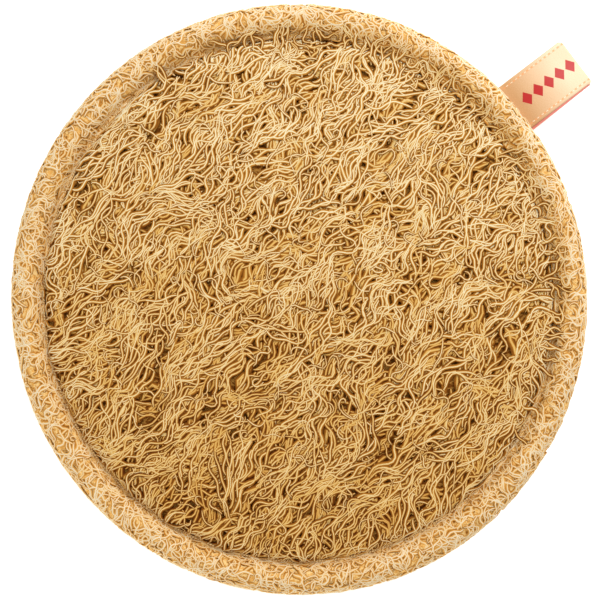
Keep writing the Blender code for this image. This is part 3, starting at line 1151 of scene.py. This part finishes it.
@dataclass
class RimBand:
    """The rim band: a paler bed and a finer net with no common direction, over both grooves.

    The pad's fibres that run over the front groove to the welt, at its open side, are built here.
    """

    build: Build
    wrap: Wrap
    rounds: int = 540
    across: int = 44
    edge_room: float = 2.0
    bed_drop: float = 0.12
    bed_waves: Waves = Waves(4, 0.1, 35)
    seed: int = 34
    knots: Knots = Knots(pitch=6.5, pull=0.3, reach=1.2, seed=9)
    bridge_reach: float = 3.4
    bridge_limit: float = 5.6
    bridge_room: float = 2.4
    bridges: Growth = Growth("bridges", BRIDGING, 190, strands=4, reach=(7, 11), lane=1.1, slip=1.5,
                             half_width=(0.46, 0.6), lift=0.1, spread=0.15, dive=0.8, stray=0.6,
                             bend=0.8, tone=(0.92, 0.2))
    layers: tuple[Growth, ...] = (
        Growth("low", RIM_CROSSED, 680, strands=3, points=8, reach=(4, 8), lane=1.3, slip=1,
               half_width=(0.6, 0.85), flatness=0.32, lift=0.04, spread=0.06, weave=0.05, dive=0.15,
               braid_wave=(4, 7), stray=0.8, bend=0.9, tone=(0.82, 0.2)),
        Growth("high", RIM_MAIN, 560, strands=3, points=9, reach=(5, 9), lane=1.2, slip=1,
               half_width=(0.45, 0.6), flatness=0.38, lift=0.14, spread=0.06, weave=0.05, dive=0.15,
               braid_wave=(4, 7), stray=0.9, bend=1.2, tone=(0.98, 0.15)),
        Growth("curls", RIM_MAIN, 1300, strands=1, points=9, reach=(4, 8), stray=2.0, bend=2.0,
               half_width=(0.32, 0.44), flatness=0.45, lift=0.2, spread=0.08, weave=0.05, dive=0.15,
               tone=(1.0, 0.1)),
    )

    def make_bed(self, role: Role) -> None:
        """Build the closed bed under the rim's net: the section carried round, and its inner wall.

        Args:
            role: What the piece is.
        """
        half = self.wrap.width / 2
        way = np.linspace(-half, half, self.across)
        along = np.linspace(0, self.wrap.length, self.rounds, endpoint=False)
        grid = np.meshgrid(way, along, indexing="ij")
        places, _ = self.wrap.place(*grid, self.bed_waves.value(*grid) - self.bed_drop)
        number = np.arange(places.size // 3).reshape(places.shape[:2])
        faces = [quads(number, closed=(True, True), flip=True)]
        role.dress(mesh_object("rim_bed", self.build.press(places), faces, {}))

    def make_net(self, role: Role) -> None:
        """Build every layer of the rim's net.

        Args:
            role: What the pieces are.
        """
        rng = np.random.default_rng(self.seed)
        width, length = self.wrap.width, self.wrap.length
        for growth in self.layers:
            fibres = growth.lay(width, length, rng)
            self.knots.draw_in(fibres, width, length)
            fibres = fibres.keep(np.abs(fibres.across).mean(axis=1) < width / 2)
            drawn = squeeze(np.abs(fibres.across), width / 2, self.edge_room)
            fibres.across = np.sign(fibres.across) * drawn
            # Painted light and shade of the rim, from its section and its openness.
            fibres.depth = fibres.depth * self.wrap.shade(fibres.across, fibres.along)
            places, normals = self.wrap.place(fibres.across, fibres.along, fibres.lift)
            places = self.build.press(places)
            role.dress(tube_mesh(f"rim_{growth.name}", fibres, places, normals, growth.flatness))

    def make_bridges(self, role: Role) -> None:
        """Build the fibres over the front groove: each is kept with the openness as its chance.

        Args:
            role: What the piece is.
        """
        rng = np.random.default_rng(self.seed + 1)
        growth = self.bridges
        fibres = growth.lay(2 * self.bridge_reach, self.wrap.length, rng)
        chance = self.wrap.openness(fibres.along[:, 0])
        fibres = fibres.keep(rng.random(len(fibres.tint)) < chance)
        drawn = squeeze(np.abs(fibres.across), self.bridge_limit, self.bridge_room)
        fibres.across = np.sign(fibres.across) * drawn
        places, normals = Span(self.build).place(fibres)
        places = self.build.press(places)
        role.dress(tube_mesh(f"rim_{growth.name}", fibres, places, normals, growth.flatness))

    def make(self, net: Role, bed: Role, bridge: Role) -> None:
        """Build the bed, the net and the bridging fibres.

        Args:
            net: What the net's layers are.
            bed: What the bed is.
            bridge: What the bridging fibres are.
        """
        self.make_bed(bed)
        self.make_net(net)
        self.make_bridges(bridge)


@dataclass
class SeamThreads:
    """The seam's two threads: stitches that rise out of the groove and dive into it."""

    build: Build
    material: Material
    stitches: int = 88
    radius: float = 0.28
    inset: float = 0.6
    over_flange: float = 0.35
    wave: float = 0.3
    steps: int = 10
    sides: int = 6

    def make(self) -> None:
        """Build one ring of thread for each face: z waves once for each stitch."""
        turn = np.linspace(0, 2 * math.pi, self.stitches * self.steps, endpoint=False)
        angle = np.linspace(0, 2 * math.pi, self.sides, endpoint=False)[:, None]
        ring = self.build.rim_inner - self.inset
        rise = self.build.flange / 2 + self.over_flange
        rise = rise + self.wave * np.maximum(np.cos(self.stitches * turn), 0)
        outward = polar(1.0, turn, 0.0)
        for side in Side:
            centre = polar(ring, turn, self.build.rim_middle_z + side.value * rise)
            ahead = np.roll(centre, -1, axis=0) - np.roll(centre, 1, axis=0)
            across = unit(np.cross(unit(ahead), outward))
            section = outward[:, None] * np.cos(angle) + across[:, None] * np.sin(angle)
            number = np.arange(turn.size * self.sides).reshape(-1, self.sides)
            tones = {
                "along": np.broadcast_to(turn[:, None] * ring, number.shape),
                "spin": np.broadcast_to(angle.T * self.radius, number.shape),
            }
            name = side.name.lower()
            points = self.build.press(centre[:, None] + self.radius * section)
            faces = [quads(number, closed=(True, True), flip=True)]
            role = Role(f"stitch_ring_{name}", "seam_thread", self.material)
            role.dress(mesh_object(f"seam_thread_{name}", points, faces, tones))


@dataclass(frozen=True)
class ThreadFinish:
    """Twisted cotton thread of the loofah's own colour."""

    name: str = "cotton_thread"
    pale: Colour = srgb(232, 205, 152)
    dark: Colour = srgb(168, 120, 62)
    twist_along: float = 9.0
    twist_round: float = 6.0
    dark_to: float = 0.1
    pale_from: float = 0.7
    bump: Pair = (0.6, 0.05)
    roughness: float = 0.75

    def material(self) -> Material:
        """Build the material: slanted bands along the thread for its twist.

        Returns:
            The material.
        """
        material, shader = new_material(self.name)
        round_part = shader.math("MULTIPLY", shader.tone("spin"), self.twist_round)
        slant = shader.math("MULTIPLY_ADD", shader.tone("along"), self.twist_along, round_part)
        band = shader.math("MULTIPLY_ADD", shader.math("SINE", slant), 0.5, 0.5)
        colour = shader.ramp(band, (self.dark_to, self.dark), (self.pale_from, self.pale))
        shader.surface(colour, band, self.bump, {"Roughness": self.roughness})
        return material


@dataclass
class RibbonTag:
    """The satin ribbon, folded in two: a leaf out, a tight fold and a leaf back, a little askew.

    In its own frame +X runs out along the tag, +Y across it and +Z up, from the rim's edge.
    """

    build: Build
    width: float = 13.1
    length: float = 19.0
    root: float = 2.8
    place: Pair = (54.9, 48.7)
    turn: float = math.radians(37.4)
    leaf: float = 0.3
    leaf_gap: float = 0.5
    skew: float = 0.7
    skew_ease: float = 0.45
    arch: float = 0.9
    droop: float = 1.4
    corner: float = 0.9
    ripple: float = 0.12
    ripple_across: float = 7.0
    ripple_along: float = 4.0
    spans: int = 40
    fold_spans: int = 10
    ribs: int = 24
    stitch_from: float = 0.6
    stitch_to: float = 17.4
    stitch_pitch: float = 1.4
    stitch_share: float = 0.55
    stitch_inset: float = 1.0
    stitch_hump: float = 0.06
    stitch_width: float = 0.14
    stitch_taper: tuple[float, ...] = (0.5, 0.9, 1.0, 0.9, 0.5)
    stitch_flatness: float = 0.6

    @property
    def half_fold(self) -> float:
        """Height of a leaf's middle over the middle of the fold."""
        return (self.leaf + self.leaf_gap) / 2

    @property
    def cut_length(self) -> float:
        """Length of the ribbon before it is folded."""
        return 2 * (self.length + self.root)

    def to_world(self, points: Array) -> Array:
        """Take places from the tag's own frame to the model's.

        Args:
            points: Places with x, y and z along the last axis.

        Returns:
            The same places in the model's frame.
        """
        cos, sin = math.cos(self.turn), math.sin(self.turn)
        x = self.place[0] + points[..., 0] * cos - points[..., 1] * sin
        y = self.place[1] + points[..., 0] * sin + points[..., 1] * cos
        return np.stack((x, y, self.build.rim_middle_z + points[..., 2]), axis=-1)

    def path(self) -> tuple[Array, Array]:
        """Give the ribbon's way from one caught end round the fold to the other.

        Returns:
            The reach out and the height over the middle of the fold, along the way.
        """
        half = self.half_fold
        fold = self.length - half - self.leaf / 2
        leaf = np.linspace(-self.root, fold, self.spans)
        bend = np.linspace(math.pi / 2, -math.pi / 2, self.fold_spans + 1)[1:-1]
        level = np.full(self.spans, half)
        return (np.concatenate((leaf, fold + half * np.cos(bend), leaf[::-1])),
                np.concatenate((level, half * np.sin(bend), -level)))

    def surface(self, out: Array, up: Array, share: Array) -> Array:
        """Put places of the ribbon in the tag's frame.

        The middle line rises as an arch and droops with the square of its reach, the lower leaf
        lies askew, and the corners of the fold are rounded by drawing the outer ribs in.

        Args:
            out: Reach out along the tag.
            up: Height over the middle of the fold.
            share: Place across, from -0.5 to 0.5.

        Returns:
            The places.
        """
        part = np.clip(out / self.length, 0, 1)
        lower = np.clip((self.half_fold - up) / (2 * self.half_fold), 0, 1)
        aside = self.skew * lower * (1 - self.skew_ease * part)
        rise = self.arch * np.sin(math.pi * part) - self.droop * part**2
        edge = (np.abs(share) - 0.5 + self.corner / self.width) * self.width / self.corner
        edge = np.clip(edge, 0, 1)
        tip = np.clip((out - self.length + 2 * self.corner) / (2 * self.corner), 0, 1)
        drawn = out - self.corner * (1 - np.sqrt(1 - edge**2)) * tip
        wave = np.sin(share * self.ripple_across + out / self.ripple_along)
        up = up + rise + self.ripple * wave * part
        return np.stack((drawn, share * self.width - aside, up), axis=-1)

    def make_leaf(self, role: Role) -> Object:
        """Build the ribbon as one closed sheet with a wall of the leaf's thickness.

        Args:
            role: What the piece is.

        Returns:
            The object.
        """
        path = np.stack(self.path(), axis=1)
        share = np.linspace(0.5, -0.5, self.ribs)
        out, up = (np.repeat(row[:, None], self.ribs, axis=1) for row in path.T)
        middle = self.surface(out, up, np.broadcast_to(share, out.shape))
        normal = unit(np.cross(np.gradient(middle, axis=0), np.gradient(middle, axis=1)))
        outer, inner = middle - normal * self.leaf / 2, middle + normal * self.leaf / 2
        number = np.arange(out.size).reshape(out.shape)
        loop = np.concatenate((number[:-1, 0], number[-1, :-1], number[:0:-1, -1], number[0, :0:-1]))
        ahead = np.roll(loop, -1)
        wall = np.stack((loop, ahead, ahead + out.size, loop + out.size), axis=-1)
        flat = (False, False)
        faces = [quads(number, flat, flip=True), quads(number + out.size, flat), wall]
        tones = {
            "along": np.tile(np.repeat(travelled(path), self.ribs), 2),
            "across": np.tile(share * self.width, 2 * len(path)),
            "reverse": np.repeat((0.0, 1.0), out.size),
        }
        points = self.to_world(np.stack((outer, inner)))
        return role.dress(mesh_object("ribbon_leaf", points, faces, tones))

    def make_stitches(self, role: Role) -> Object:
        """Build the short dashes of edge stitching on both outer sides of the ribbon.

        Args:
            role: What the piece is.

        Returns:
            The object.
        """
        starts = np.arange(self.stitch_from, self.stitch_to, self.stitch_pitch)
        taper = np.array(self.stitch_taper)
        reach = np.tile(starts, 4)[:, None] + np.linspace(
            0, self.stitch_share * self.stitch_pitch, taper.size)
        level = np.repeat((1, 1, -1, -1), starts.size)[:, None] * np.ones_like(reach)
        edge = np.repeat((1, -1, 1, -1), starts.size)[:, None] * np.ones_like(reach)
        share = edge * (0.5 - self.stitch_inset / self.width)
        places = self.surface(reach, level * self.half_fold, share)
        hump = np.sin(np.linspace(0, math.pi, taper.size)) * self.stitch_hump
        places[..., 2] += level * (self.leaf / 2 + hump)
        normal = polar(0.0, reach, level)
        fibres = Fibres(reach, share, level, np.broadcast_to(self.stitch_width * taper, reach.shape),
                        reach, np.linspace(0, 1, len(reach)), np.ones_like(reach))
        places = self.to_world(places)
        return role.dress(
            tube_mesh("ribbon_stitches", fibres, places, normal, self.stitch_flatness))


@dataclass(frozen=True)
class SatinFinish:
    """Apricot satin: fine lengthwise threads, a row of small red lozenges and a coral reverse, with
    painted shadow that darkens it towards the root under the rim and between the edge stitches.

    Its lengths are millimetres along and across the ribbon.
    """

    name: str = "apricot_satin"
    light: Colour = srgb(246, 222, 196)
    shade: Colour = srgb(238, 206, 170)
    # root_light and root_shade are the satin under painted shadow at the root, where the rim overhangs it.
    root_light: Colour = srgb(220, 176, 130)
    root_shade: Colour = srgb(206, 154, 102)
    reverse: Colour = srgb(250, 160, 152)
    motif: Colour = srgb(190, 28, 32)
    # seam: painted shadow of the puckers between the edge stitches.
    seam: Colour = srgb(236, 168, 112)
    seam_place: float = 13.1 / 2 - 1.0
    seam_half: float = 0.22
    seam_pitch: float = 1.4
    seam_tone: Pair = (0.4, 0.5)
    pitch: float = 3.4
    lozenge: float = 1.5
    lozenge_stretch: float = 1.3
    first: float = 6.0
    last: float = 21.5
    fade_from: float = 4.0
    fade_to: float = 17.0
    thread_stretch: float = 0.35
    thread_grain: Pair = (9.0, 3.0)
    shade_to: float = 0.3
    light_from: float = 0.65
    rib_turn: float = 26.0
    bump: Pair = (0.25, 0.03)
    roughness: float = 0.38
    sheen: float = 0.25

    def material(self) -> Material:
        """Build the material from the ribbon's own lengths.

        Returns:
            The material.
        """
        material, shader = new_material(self.name)
        along, across = shader.tone("along"), shader.tone("across")
        aside = shader.math("ABSOLUTE", across)
        stretched = shader.math("MULTIPLY", along, self.thread_stretch)
        place = shader.add("ShaderNodeCombineXYZ", {"X": stretched, "Y": across}).outputs[0]
        threads = shader.noise(place, *self.thread_grain).outputs["Fac"]
        root, tip = (shader.ramp(threads, (self.shade_to, dark), (self.light_from, pale))
                     for dark, pale in ((self.root_shade, self.root_light), (self.shade, self.light)))
        # Painted shadow: the colour darkens from the tip to the root under the rim.
        root_shadow_fade = shader.add("ShaderNodeMapRange", {
            "Value": along, "From Min": self.fade_from, "From Max": self.fade_to}).outputs["Result"]
        # Painted shadow of the puckers: orange spots between the stitches along the seam line.
        off_seam = shader.math("ABSOLUTE", shader.math("SUBTRACT", aside, self.seam_place))
        on_seam = shader.math("LESS_THAN", off_seam, self.seam_half)
        beat = shader.math("SINE", shader.math("MULTIPLY", along, 2 * math.pi / self.seam_pitch))
        pucker_shadow = shader.math("MULTIPLY", on_seam, shader.math("MULTIPLY_ADD", beat, *self.seam_tone))
        satin = shader.mix(pucker_shadow, shader.mix(root_shadow_fade, root, tip), (*self.seam, 1))
        half = self.pitch / 2
        count = shader.math("PINGPONG", shader.math("ADD", along, half - self.first), half)
        away = shader.math("SUBTRACT", half, count)
        corner = shader.math("ADD", away, shader.math("DIVIDE", aside, self.lozenge_stretch))
        window = shader.math("MULTIPLY", shader.math("GREATER_THAN", along, self.first - half),
                             shader.math("LESS_THAN", along, self.last))
        inside = shader.math("LESS_THAN", corner, self.lozenge)
        face = shader.mix(shader.math("MULTIPLY", inside, window), satin, (*self.motif, 1))
        whole = shader.mix(shader.tone("reverse"), face, (*self.reverse, 1))
        rib = shader.math("SINE", shader.math("MULTIPLY", across, self.rib_turn))
        shader.surface(whole, rib, self.bump,
                       {"Roughness": self.roughness, "Sheen Weight": self.sheen})
        return material


@dataclass(frozen=True)
class Lamp:
    """One square soft light that faces the sponge, by its angles in degrees, metres and watts."""

    name: str
    azimuth: float
    elevation: float
    distance: float
    size: float
    power: float
    colour: Colour

    def hang(self) -> None:
        """Add the light to the scene."""
        data = bpy.data.lights.new(self.name, "AREA")
        data.shape = "SQUARE"
        data.size = self.size
        data.energy = self.power
        data.color = self.colour
        lamp = bpy.data.objects.new(self.name, data)
        turn, climb = math.radians(self.azimuth), math.radians(self.elevation)
        lamp.location = polar(self.distance * math.cos(climb), turn, self.distance * math.sin(climb))
        lamp.rotation_euler = (math.pi / 2 - climb, 0, turn + math.pi / 2)
        bpy.context.scene.collection.objects.link(lamp)


@dataclass
class Studio:
    """The camera over the sponge, a plain pale floor, a key light and a low fill opposite it."""

    long_pixels: float = 595.0
    frame_pixels: float = 600.0
    middle_pixel: Pair = (299.2, 299.4)
    long_diameter: float = 150.0 * MM
    outline_z: float = 7.5 * MM
    lens: float = 150.0
    sensor: float = 36.0
    clip: Pair = (0.01, 20)
    floor_size: float = 4.0
    floor_colour: Colour = (0.91, 0.945, 1.0)
    bounce_colour: Colour = (1.0, 0.92, 0.74)
    shine_colour: Colour = (1.2, 1.34, 1.55)
    floor_glow: float = 0.36
    floor_roughness: float = 0.9
    world_colour: Colour = (1.0, 0.91, 0.77)
    world_strength: float = 0.64
    lamps: tuple[Lamp, ...] = (
        Lamp("key", 60, 39, 1.25, 1.1, 14.0, (1.0, 0.985, 0.95)),
        Lamp("fill", 230, 24, 1.3, 1.0, 6.8, (1.0, 0.96, 0.83)),
    )

    def make_camera(self) -> None:
        """Look straight down, as far away as shows the outline at the photograph's size."""
        pixel = self.long_diameter / self.long_pixels
        distance = pixel * self.frame_pixels * self.lens / self.sensor
        data = bpy.data.cameras.new("camera")
        data.lens, data.sensor_width = self.lens, self.sensor
        data.clip_start, data.clip_end = self.clip
        camera = bpy.data.objects.new("camera", data)
        middle = self.frame_pixels / 2
        camera.location = (
            (middle - self.middle_pixel[0]) * pixel,
            (self.middle_pixel[1] - middle) * pixel,
            self.outline_z + distance,
        )
        bpy.context.scene.collection.objects.link(camera)
        bpy.context.scene.camera = camera

    def make_floor(self) -> None:
        """Lay the floor just under the sponge: white to the eye, and a warm bounce to the sponge."""
        half = self.floor_size / MM / 2
        corners = np.array(((-half, -half, 0), (half, -half, 0), (half, half, 0), (-half, half, 0)))
        floor = mesh_object("floor", corners, [np.array(((0, 1, 2, 3),))], {})
        material, shader = new_material("pale_floor")
        seen = shader.add("ShaderNodeLightPath").outputs["Is Camera Ray"]
        colour, glow = (shader.mix(seen, (*self.bounce_colour, 1), (*shown, 1))
                        for shown in (self.floor_colour, self.shine_colour))
        shader.fill(material.node_tree.nodes["Principled BSDF"], {
            "Base Color": colour, "Emission Color": glow,
            "Roughness": self.floor_roughness, "Emission Strength": self.floor_glow,
        })
        floor.data.materials.append(material)

    def make_world(self) -> None:
        """Surround the scene with a warm light that the camera sees as white."""
        world = bpy.data.worlds.new("studio")
        world.use_nodes = True
        shader = Shader(world.node_tree)
        warm = shader.fill(world.node_tree.nodes["Background"], {
            "Color": (*self.world_colour, 1), "Strength": self.world_strength})
        white = shader.add("ShaderNodeBackground", {"Color": (1, 1, 1, 1), "Strength": 1.0})
        seen = shader.add("ShaderNodeLightPath").outputs["Is Camera Ray"]
        inputs = {0: seen, 1: warm.outputs[0], 2: white.outputs[0]}
        mixed = shader.add("ShaderNodeMixShader", inputs).outputs[0]
        shader.fill(world.node_tree.nodes["World Output"], {"Surface": mixed})
        bpy.context.scene.world = world

    def make(self) -> None:
        """Set up the whole studio."""
        self.make_camera()
        self.make_floor()
        for lamp in self.lamps:
            lamp.hang()
        self.make_world()
        bpy.context.scene.view_settings.view_transform = "Standard"


def main() -> None:
    """Build every sub-assembly in order and report it."""
    logging.basicConfig(level=logging.INFO, format="%(name)s: %(message)s")
    build = Build()
    tone_group = fibre_tone_group()
    # The ramps' dark ends are reached through painted shade, and their cream ends through the painted
    # crest highlight.
    face_fibre = FibreFinish("face_fibre", (
        (0.0, srgb(88, 38, 2)), (0.22, srgb(158, 101, 32)), (0.42, srgb(204, 153, 74)),
        (0.68, srgb(220, 186, 116)), (0.95, srgb(234, 229, 202)),
    )).material(tone_group)
    rim_fibre = FibreFinish("rim_fibre", (
        (0.0, srgb(106, 50, 4)), (0.22, srgb(184, 124, 48)), (0.42, srgb(223, 178, 106)),
        (0.7, srgb(224, 195, 143)), (0.95, srgb(231, 223, 204)),
    ), root=0.2, slope=0.3, gain=0.5).material(tone_group)
    # The beds' colours are painted shade under the net, the face bed's darkest, and darker still in each
    # opening.
    face_bed = BedFinish("face_bed", srgb(76, 34, 6), srgb(128, 74, 22), srgb(186, 134, 64)).material()
    rim_bed = BedFinish("rim_bed", srgb(154, 92, 26), srgb(226, 174, 98), srgb(238, 204, 142),
                        stretch=1.0, openings=760.0).material()
    net = Role("loofah_pad", "loofah_fibre", face_fibre)
    LoofahPad(build).make(net, Role("loofah_pad", "loofah_fibre", face_bed))
    RimBand(build, Wrap(build)).make(Role("rim_band", "loofah_rim", rim_fibre),
                                     Role("rim_band", "loofah_rim", rim_bed), net)
    SeamThreads(build, ThreadFinish().material()).make()
    tag = RibbonTag(build)
    ribbon = tag.make_leaf(Role("ribbon_tag", "ribbon_satin", SatinFinish().material()))
    tag_thread = FibreFinish("tag_thread", (
        (0.0, srgb(236, 192, 146)), (0.4, srgb(250, 226, 196)), (0.8, srgb(255, 246, 232)),
    ), root=0.4, gain=0.5, tint_gain=0.5).material(tone_group)
    stitches = tag.make_stitches(Role("ribbon_tag", "ribbon_satin", tag_thread))
    flat = (tag.width * MM, tag.cut_length * MM)
    Studio().make()


if __name__ == "__main__":
    main()
